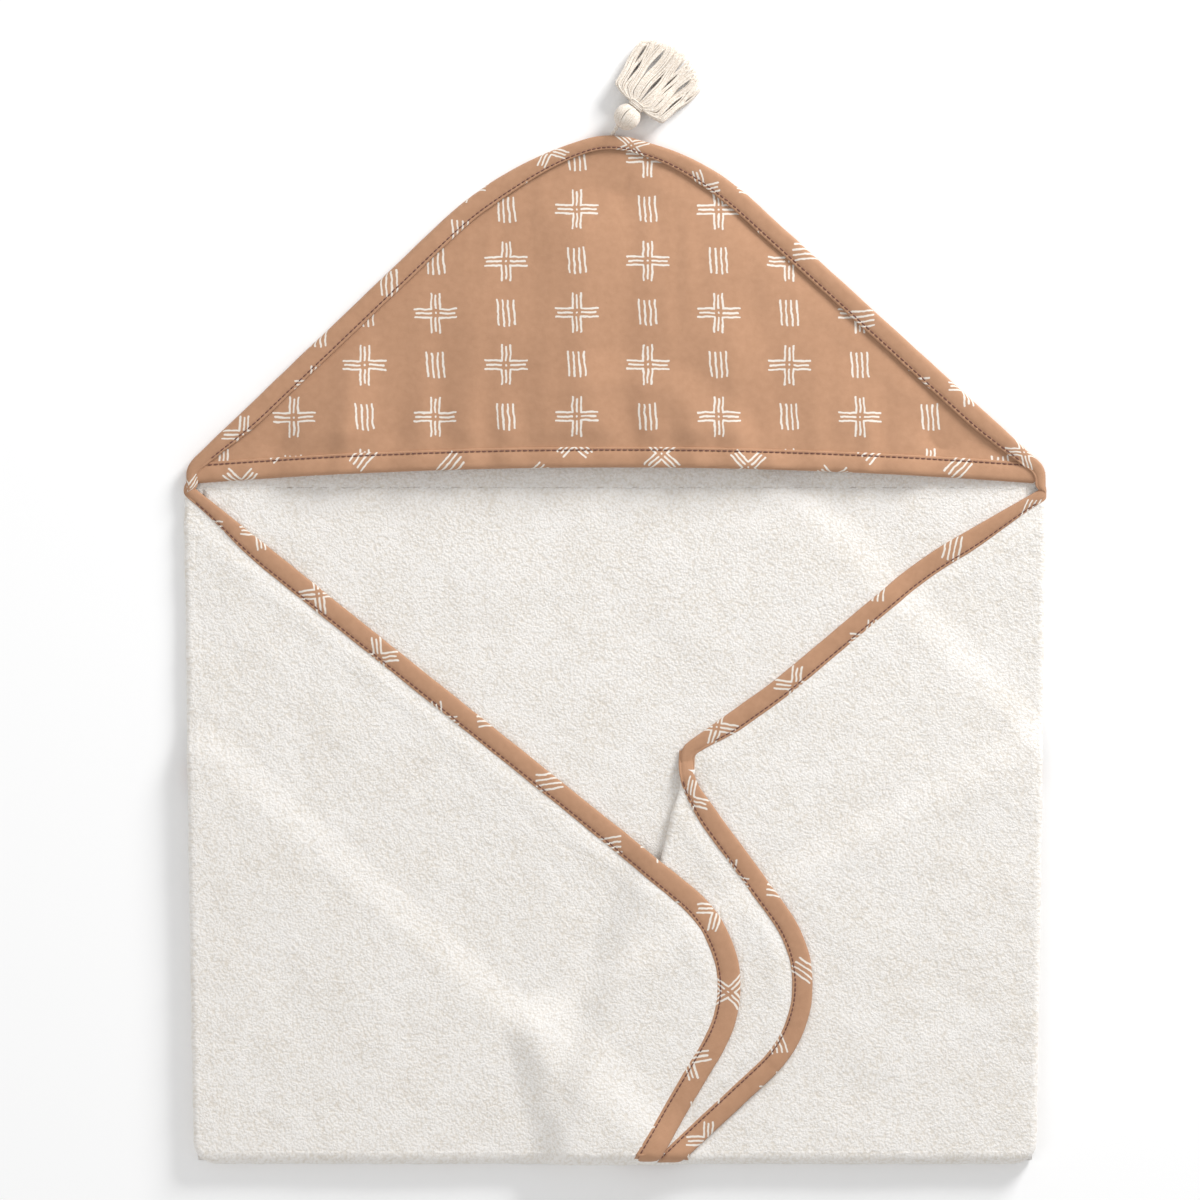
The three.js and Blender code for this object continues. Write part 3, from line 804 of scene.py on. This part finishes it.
hood_backing = hood_sheet(
    "hood_backing", HALF_TERRY, TERRY, lies["back"], lambda x: np.full(x.shape, NECK - 1.0)
)


def rippled(x, y):
    """The front layers' height, kept from sinking under the backing."""
    sewn = distance_to_path(hood_path, x, y)
    height = pocket(x, y) + ripples(x, y) - PRESSED * (1 - ease(sewn, 9, 24))
    return np.maximum(height, lies["back"](x, y) - PRESSED)


hood_lining = hood_sheet(
    "hood_lining_terry", 3.1, 1.4, rippled, lambda x: mouth_y(x) + 1.5, 130, 300, 0.3
)
hood_panel = hood_sheet(
    "hood_panel_print", 5.3, 0.7, rippled, lambda x: mouth_y(x) + 1.2, 130, 300, 0.0, PRINT_AT
)
print("hood:", [p.name for p in (hood_backing, hood_lining, hood_panel)])

# %% [markdown]
# ## Bindings
# A binding is a strip of the printed cotton, cut on the bias, folded over the raw edge and
# stitched through. Cut that way it stretches round a curve, and its print runs at 45 degrees to
# the edge. Here a folded section is swept along each edge, over the layer that it binds.

# %% Sweep a binding along an edge
def resampled(path, step):
    lengths = np.concatenate([[0], np.cumsum(np.linalg.norm(np.diff(path, axis=0), axis=1))])
    count = max(int(lengths[-1] / step), 4)
    s = np.linspace(0, lengths[-1], count)
    points = np.stack([np.interp(s, lengths, path[:, k]) for k in (0, 1)], axis=-1)
    ahead = np.gradient(points, axis=0)
    for _ in range(2):
        ahead[1:-1] = (ahead[:-2] + ahead[1:-1] + ahead[2:]) / 3
    ahead = unit(ahead)
    inward = np.stack([ahead[:, 1], -ahead[:, 0]], axis=-1)
    return s, points, inward


def tape_section(low, high):
    return np.array([
        (11.0, low + 0.4), (7.0, low), (2.0, low + 0.1), (0.4, 0.7 * low + 0.3 * high),
        (0.0, 0.5 * (low + high)), (0.35, 0.25 * low + 0.75 * high), (1.2, high - 0.25),
        (3.0, high), (5.5, high + 0.05), (7.6, high - 0.1), (8.8, high - 0.4), (9.6, high - 0.75),
        (10.2, high - 0.5), (10.8, high - 0.45), (11.2, high - 0.9), (11.3, high - 1.7),
    ])


def wrapped(x, y, z, below):
    """Turns what runs past a side fold or the bottom fold down round it."""
    bend = 4.0
    limit = side(y) - bend
    angle = np.clip((np.abs(x) - limit) / bend, 0, 1.5)
    middle = lies["back"](x, y) + PITCH
    x = np.where(angle > 0, np.sign(x) * (limit + bend * np.sin(angle)), x)
    z = np.where(angle > 0, middle + (z - middle) * np.cos(angle), z)
    angle = np.clip((ROLL - y) / ROLL, 0, 1.45)
    middle = (z + lies[below](x, np.full(x.shape, ROLL))) / 2 if below else z
    y = np.where(angle > 0, ROLL - (ROLL + 0.4) * np.sin(angle), y)
    z = np.where(angle > 0, middle + (z - middle) * np.cos(angle), z)
    return x, y, z


def tape_puckers(s, w, seed):
    small = noise(s, w * 0.4, 5.5, seed) * 0.28
    return small * np.exp(-(((w - 7.5) / 3.5) ** 2)) + 0.15 * noise(s, w, 17, seed + 1)


SHOULDERS = ((-234, 368), (237, 368))


def shown_width(name, x, y):
    """The part of a tape's width that shows: less where it turns a corner."""
    if name == "hood_front_binding":
        return np.ones(x.shape)
    width = 0.70 + 0.30 * ease(np.hypot(x - HOOD_TIP[0], y - HOOD_TIP[1]), 15, 75)
    width = width * (0.72 + 0.28 * ease(np.hypot(x - 39, y - 221), 8, 36))
    for a, b in SHOULDERS:
        width = width * (0.60 + 0.40 * ease(np.hypot(x - a, y - b), 3, 60))
    if name == "left_flap_binding":
        width = width * (1.14 - 0.14 * ease(y, 120, 210))
    return width


def binding(name, path, lie, low, high, seed, below=None):
    s, points, inward = resampled(path, 1.6)
    section = tape_section(low, high)
    w = np.broadcast_to(section[:, 0], (len(s), len(section)))
    shown = shown_width(name, points[:, 0], points[:, 1])
    if name == "hood_edge_binding":
        past = np.clip((NECK + 2 - points[:, 1]) / 5, 0, 0.99)
        shown = shown * np.sqrt(1 - past ** 2)
    w = w * shown[:, None]
    x = points[:, 0, None] + inward[:, 0, None] * w
    y = points[:, 1, None] + inward[:, 1, None] * w
    z = lie(x, y) + section[:, 1]
    upper = np.arange(len(section)) > 4
    z = z + tape_puckers(s[:, None], w, seed) * upper
    x = x + inward[:, 0, None] * 0.25 * noise(s, s * 0, 9, seed)[:, None]
    if name == "right_lapel_binding":
        z = z - (PITCH + 0.8) * (1 - ease(np.abs(y - 225), 1, 15)) * (y > 200)
    x, y, z = wrapped(x, y, z, below)
    middle = np.stack([x, y, z], axis=-1)
    girth = np.concatenate([[0], np.cumsum(np.hypot(*np.diff(section, axis=0).T))])
    along = np.broadcast_to(s[:, None], x.shape) + 60 * seed
    around = np.broadcast_to(girth, x.shape)
    flat = np.stack([along + around, along - around], axis=-1) / math.sqrt(2)
    rows, cols = x.shape
    piece = make_mesh(name + "_tape", middle.reshape(-1, 3), quads(rows, cols), flat.reshape(-1, 2))
    piece.data.materials.append(printed)
    return piece


mouth_xs = np.linspace(-HALF_NECK + 7, HALF_NECK - 5, 110)
mouth_path = np.stack([mouth_xs, mouth_y(mouth_xs)], axis=-1)[::-1]


def longer(path, at_start=0.0, at_end=0.0):
    """A path drawn out straight past its ends."""
    first = (path[0] - path[1]) / np.linalg.norm(path[0] - path[1])
    last = (path[-1] - path[-2]) / np.linalg.norm(path[-1] - path[-2])
    parts = [path]
    if at_start > 0:
        parts.insert(0, [path[0] + first * at_start])
    if at_end > 0:
        parts.append([path[-1] + last * at_end])
    return np.concatenate(parts)


def facing(path, inside_point):
    """The path in the direction that has the cloth on its right."""
    _, points, inward = resampled(path, 4)
    k = len(points) // 2
    towards = np.asarray(inside_point) - points[k]
    return path if towards @ inward[k] > 0 else path[::-1]


# For each edge: its path, the layer that it binds, the tape's top and a point on the cloth.
EDGES = {
    "left_flap": (longer(left_path, 0, 12), "leftFlap", 3.0, (-150, 100)),
    "right_flap": (right_path, "rightFlap", 3.0, (200, 150)),
    "right_lapel": (longer(lapel_path, 0, 12), "lapel", 3.0, (30, 120)),
    "tuck": (tuck_path, "tuck", 2.8, (0, 100)),
    "left_tuck": (left_tuck_path, "leftTuck", 2.8, (-200, 20)),
    "right_tuck": (right_tuck_path, "rightTuck", 2.8, (200, 20)),
    "lapel_tuck": (lapel_tuck_path, "lapelTuck", 2.8, (-10, 10)),
    "hood_edge": (longer(hood_path, 3, 3), "back", 6.4, (0, 450)),
}
TURNED_TO = {"left_flap": "leftTuck", "right_lapel": "lapelTuck"}
edges = [
    (name, facing(path, inside), lies[layer], high, TURNED_TO.get(name))
    for name, (path, layer, high, inside) in EDGES.items()
]
bindings = {}
for k, (edge, path, lie, high, below) in enumerate(edges):
    name = edge + "_binding"
    bindings[name] = binding(name, path, lie, 0.1, high, k, below)
mouth_path = facing(mouth_path, (0, 450))
name = "hood_front_binding"
bindings[name] = binding(name, mouth_path, rippled, 2.2, 6.9, seed=9)
print("bindings:", len(bindings))

# %% [markdown]
# ## Stitches
# The binding is sewn with red-brown thread. Each stitch is a short tube that narrows and dips into
# the cloth at both ends, just under three millimetres long with a small gap to the next.

# %% Sew along the inner edge of a binding
STITCH = 2.7  # length of a stitch
STEP = 3.2  # from the start of one to the next
RINGS = 5  # along a stitch
SIDES = 6  # round it


def add_skin(faces, base, rings, sides):
    """The faces of a tube whose vertices start at base, with both ends closed."""
    for k in range(rings - 1):
        for j in range(sides):
            a = base + sides * k + j
            b = base + sides * k + (j + 1) % sides
            faces.append((a, b, b + sides, a + sides))
    faces.append([base + j for j in range(sides - 1, -1, -1)])
    faces.append([base + sides * (rings - 1) + j for j in range(sides)])


def stitches(name, path, lie, rise, seed, below=None):
    s, points, inward = resampled(path, 0.5)
    starts = np.arange(1.5, s[-1] - STITCH, STEP)
    vertices = []
    faces = []
    for start in starts:
        lead = start + np.array([0, 0.12, 0.5, 0.88, 1]) * STITCH
        wide = np.array([0.12, 0.34, 0.40, 0.34, 0.12])
        lift = np.array([-0.25, 0.1, 0.22, 0.1, -0.25])
        x = np.interp(lead, s, points[:, 0])
        y = np.interp(lead, s, points[:, 1])
        nx = np.interp(lead, s, inward[:, 0])
        ny = np.interp(lead, s, inward[:, 1])
        inset = STITCH_IN * shown_width(name.replace("stitches", "binding"), x, y)
        x = x + nx * inset
        y = y + ny * inset
        z = lie(x, y) + rise + lift + tape_puckers(lead, STITCH_IN, seed)
        if abs(x).max() > side(NECK) - 5 or y.min() < 2:
            continue
        if "hood_edge" in name and y.min() < NECK + 14:
            continue
        if name in ("right_flap_stitches", "right_lapel_stitches") and (abs(y - 221) < 9).any():
            continue
        x, y, z = wrapped(x, y, z, below)
        base = len(vertices)
        for k in range(RINGS):
            for j in range(SIDES):
                angle = 2 * math.pi * j / SIDES
                out = wide[k] * math.cos(angle)
                up = wide[k] * math.sin(angle)
                vertices.append((x[k] + nx[k] * out, y[k] + ny[k] * out, z[k] + up))
        add_skin(faces, base, RINGS, SIDES)
    piece = make_mesh(name, np.array(vertices), faces)
    piece.data.materials.append(thread)
    return piece


threads = {}
for k, (edge, path, lie, high, below) in enumerate(edges):
    name = edge + "_stitches"
    threads[name] = stitches(name, path, lie, high - 0.65, k, below)
name = "hood_front_stitches"
threads[name] = stitches(name, mouth_path, rippled, 6.3, seed=9)
print("stitches:", sum(len(t.data.vertices) for t in threads.values()) // (RINGS * SIDES))

# %% [markdown]
# ## The tassel
# A ball wound with yarn, a wrap at its neck and a loose skirt, hung from a short twisted cord.
# Every yarn is a thin tube with its own wave, spread out on the table as the real ones lie.

# %% Tubes of yarn
def tube(vertices, faces, line, radius, sides):
    ahead = unit(np.gradient(line, axis=0))
    up = unit(np.cross(ahead, np.cross([0.02, 0.03, 1.0], ahead)))
    out = np.cross(ahead, up)
    radius = np.broadcast_to(radius, (len(line),))
    base = len(vertices)
    for k in range(len(line)):
        for j in range(sides):
            angle = 2 * math.pi * j / sides
            spoke = math.cos(angle) * out[k] + math.sin(angle) * up[k]
            vertices.append(line[k] + radius[k] * spoke)
    add_skin(faces, base, len(line), sides)


HEAD = 7.2  # radius of the head
HEAD_AT = np.array([6.7, 573.1, HEAD + 0.1])
SKIRT = math.radians(51)  # where the skirt points, from the X axis
SKIRT_LENGTH = 37.5
STRANDS = 520
CLUMPS = 16
WINDINGS = 40
AHEAD = np.array([math.cos(SKIRT), math.sin(SKIRT), 0])
ASIDE = np.array([math.sin(SKIRT), -math.cos(SKIRT), 0])
UP = np.array([0, 0, 1.0])
draw = np.random.default_rng(21)


def around(angle):
    """Directions square to the skirt's axis."""
    return np.cos(angle)[:, None] * ASIDE + np.sin(angle)[:, None] * UP


def yarn_piece(name, lines, radius, sides):
    vertices = []
    faces = []
    for line in lines:
        tube(vertices, faces, line, radius, sides)
    piece = make_mesh(name, np.array(vertices), faces)
    piece.data.materials.append(yarn)
    return piece


# %% The skirt
clumps = np.sort(draw.uniform(-1, 1, CLUMPS))
strands = []
for k in range(STRANDS):
    spread = draw.uniform(-1, 1)
    nearest_clump = np.argmin(abs(clumps - spread))
    spread = spread + 0.16 * (clumps[nearest_clump] - spread)
    layer = draw.uniform(0.0, 1.0)
    t = np.linspace(0, 1, 22)
    length = SKIRT_LENGTH * draw.uniform(0.9, 1.03) * (1 - 0.24 * spread ** 2)
    sway = 0.9 * np.sin(t * 6 + 2.3 * nearest_clump + draw.uniform(0, 0.8)) * ease(t, 0.1, 0.6)
    run = HEAD + 1.0 + length * t - 3.6 * abs(spread) * np.sin(math.pi * np.minimum(t * 2.2, 1))
    fan = spread * (3.0 + 13.5 * ease(t, -0.10, 0.22) + 5.0 * t) + sway
    rise = HEAD * (1 - ease(t, 0.05, 0.6)) + (layer * 6.2 + 0.6) * ease(t, 0.0, 0.5) * (1 - 0.45 * t)
    rise = np.maximum(rise + (layer - 0.5) * 5.0 * (1 - t) ** 2, 0.7)
    line = HEAD_AT * [1, 1, 0] + run[:, None] * AHEAD + fan[:, None] * ASIDE
    strands.append(line + rise[:, None] * UP)
tassel_skirt = yarn_piece("tassel_skirt_yarn", strands, 0.48, 5)

# %% The head, its wrap and the cord
windings = []
for k in range(WINDINGS):
    turn = math.pi * 2 * k / WINDINGS
    t = np.linspace(0.05, math.pi - 0.05, 18)
    radius = HEAD - 0.55 + 0.14 * draw.uniform(-1, 1)
    twist = turn + 0.35 * np.sin(t) + 0.04 * draw.uniform(-1, 1)
    across = np.sin(t)[:, None] * around(twist)
    windings.append(HEAD_AT + radius * (across - np.cos(t)[:, None] * AHEAD))
tassel_head = yarn_piece("tassel_head_yarn", windings, 0.62, 6)
coil = []
for k in range(4):
    t = np.linspace(0, 2 * math.pi, 30)
    ring = HEAD + 0.1 + 0.85 * k - 0.4
    radius = 4.1 + 0.15 * (k % 2)
    coil.append(HEAD_AT + ring * AHEAD + radius * around(t))
tassel_wrap = yarn_piece("tassel_wrap_yarn", coil, 0.55, 6)
start = np.array([HOOD_TIP[0], TIP - 1.5, 3.4])
cord_turn = math.radians(42)
finish_at = HEAD_AT - 6.6 * np.array([math.cos(cord_turn), math.sin(cord_turn), 0.1])
plies = []
for phase in (0, math.pi):
    t = np.linspace(0, 1, 30)
    base = start + (finish_at - start) * t[:, None]
    plies.append(base + 0.5 * around(phase + t * 9))
tassel_cord = yarn_piece("tassel_cord_yarn", plies, 0.62, 7)
print("yarns in the skirt:", len(strands))

# %% [markdown]
# ## Joining the pieces to the model
# Most pieces ride on the body of the CAD node that they stand for; the rest stay where they are
# made.

# %% Finishes and bodies
terry_pieces = (
    left_flap, right_flap, right_lapel, back, tuck, left_tuck, right_tuck, lapel_tuck,
    left_turn, lapel_turn, right_turn, hood_backing, hood_lining,
)
for piece in terry_pieces:
    piece.data.materials.append(terry)
for piece in (hood_panel, left_turn_tape, lapel_turn_tape):
    piece.data.materials.append(printed)


def bend_across(piece):
    """Bakes a piece's transform into its mesh."""
    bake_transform(piece)


for piece in (left_flap, bindings["left_flap_binding"], threads["left_flap_stitches"]):
    bend_across(piece)
for piece in (right_lapel, bindings["right_lapel_binding"], threads["right_lapel_stitches"]):
    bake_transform(piece)
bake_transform(hood_backing)
for piece in (left_turn, left_turn_tape, lapel_turn, lapel_turn_tape, right_turn):
    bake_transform(piece)
for piece in (right_flap, back, bindings["right_flap_binding"], threads["right_flap_stitches"]):
    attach(piece, "towel")
for piece in (tuck, left_tuck, right_tuck, lapel_tuck):
    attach(piece, "bottom_tuck")
TUCKED_UNDER = ("tuck", "left_tuck", "right_tuck", "lapel_tuck")
for name in TUCKED_UNDER:
    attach(bindings[name + "_binding"], "bottom_tuck")
    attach(threads[name + "_stitches"], "bottom_tuck")
hood_bindings = (bindings["hood_edge_binding"], bindings["hood_front_binding"])
for piece in (hood_lining, hood_panel, *hood_bindings):
    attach(piece, "hood")
for name in ("hood_edge_stitches", "hood_front_stitches"):
    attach(threads[name], "hood")
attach(tassel_cord, "tassel_cord")
for piece in (tassel_head, tassel_wrap, tassel_skirt):
    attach(piece, "tassel")

# %% What each piece stands for
stands_for = {
    left_flap: ("terry_left_flap", "terry_left_lapel"),
    right_flap: ("terry_right_flap",),
    right_lapel: ("terry_right_lapel", "terry_right_corner"),
    back: ("terry_back",),
    tuck: ("terry_tuck",),
    left_tuck: ("terry_left_tuck",),
    right_tuck: ("terry_right_tuck",),
    lapel_tuck: ("terry_lapel_tuck",),
    hood_backing: ("terry_hood_corner",),
    hood_lining: ("hood_lining",),
    hood_panel: ("hood_panel",),
    bindings["hood_edge_binding"]: ("hood_edge_binding",),
    bindings["hood_front_binding"]: ("hood_front_binding",),
    threads["hood_edge_stitches"]: ("stitches_hood_edge",),
    threads["hood_front_stitches"]: ("stitches_hood_front",),
    tassel_cord: ("tassel_cord",),
    tassel_head: ("tassel_head",),
    tassel_wrap: ("tassel_neck_wrap",),
    tassel_skirt: ("tassel_skirt",),
}
stretches = {
    "left_flap": ("left_upper", "left_lapel", "left_lower"),
    "right_flap": ("right_flap",),
    "right_lapel": ("lapel_upper", "lapel_lower", "right_corner"),
    **{name: (name,) for name in TUCKED_UNDER},
}
for name, ends in stretches.items():
    stands_for[bindings[name + "_binding"]] = tuple("binding_" + end for end in ends)
    stands_for[threads[name + "_stitches"]] = tuple("stitches_" + end for end in ends)
for piece, nodes in stands_for.items():
    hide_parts(*nodes)


trim = {
    piece: [bindings[piece.name + "_binding"], threads[piece.name + "_stitches"]]
    for piece in (left_flap, right_flap, right_lapel, tuck, left_tuck, right_tuck, lapel_tuck)
}
trim[left_flap].append(left_turn_tape)
trim[right_lapel].append(lapel_turn_tape)
trim[hood_backing] = [bindings["hood_edge_binding"], threads["hood_edge_stitches"]]
trim[hood_panel] = [bindings["hood_front_binding"], threads["hood_front_stitches"]]
for piece in (*terry_pieces, hood_panel):
    flat = sheets[piece.name]

# %% [markdown]
# ## Table, light and camera
# A white table, a soft light low at the upper right, a weaker one above and a bright plain sky
# show the pile without hard shadows. The camera looks straight down through a long lens.

# %% Floor
bpy.ops.mesh.primitive_grid_add(
    size=24.0, x_subdivisions=8, y_subdivisions=8, location=(0, 0, -0.0005)
)
table = bpy.context.object
table.name = "table"
paper = Nodes("white_paper")
paper.surface({
    "Base Color": (0.985, 0.985, 0.985, 1), "Roughness": 0.9, "Specular IOR Level": 0.0,
})
table.data.materials.append(paper.material)

# %% Lights
world = bpy.data.worlds.new("soft_sky")
world.use_nodes = True
sky = world.node_tree.nodes["Background"].inputs
sky["Color"].default_value = (1, 1, 1, 1)
sky["Strength"].default_value = 0.575
bpy.context.scene.world = world
bpy.context.scene.view_settings.view_transform = "Standard"


def soft_light(name, place, size, power):
    lamp = bpy.data.lights.new(name, "AREA")
    lamp.shape = "SQUARE"
    lamp.size = size
    lamp.energy = power
    piece = bpy.data.objects.new(name, lamp)
    piece.location = place
    aim = Vector((0, 0, 0)) - Vector(place)
    piece.rotation_euler = aim.to_track_quat("-Z", "Y").to_euler()
    bpy.context.scene.collection.objects.link(piece)


soft_light("window", (1.3, 1.6, 0.95), 0.8, 48)
soft_light("bounce", (-1.2, -0.6, 2.0), 1.6, 9)

# %% Camera
VIEW_WIDTH = 0.66  # metres seen across, at the table
DISTANCE = 3.0
SENSOR = 36
camera_data = bpy.data.cameras.new("overhead")
camera_data.sensor_width = SENSOR
camera_data.lens = SENSOR * DISTANCE / VIEW_WIDTH
camera = bpy.data.objects.new("overhead", camera_data)
camera.location = (-0.00825, 0.0005, DISTANCE)
bpy.context.scene.collection.objects.link(camera)
bpy.context.scene.camera = camera
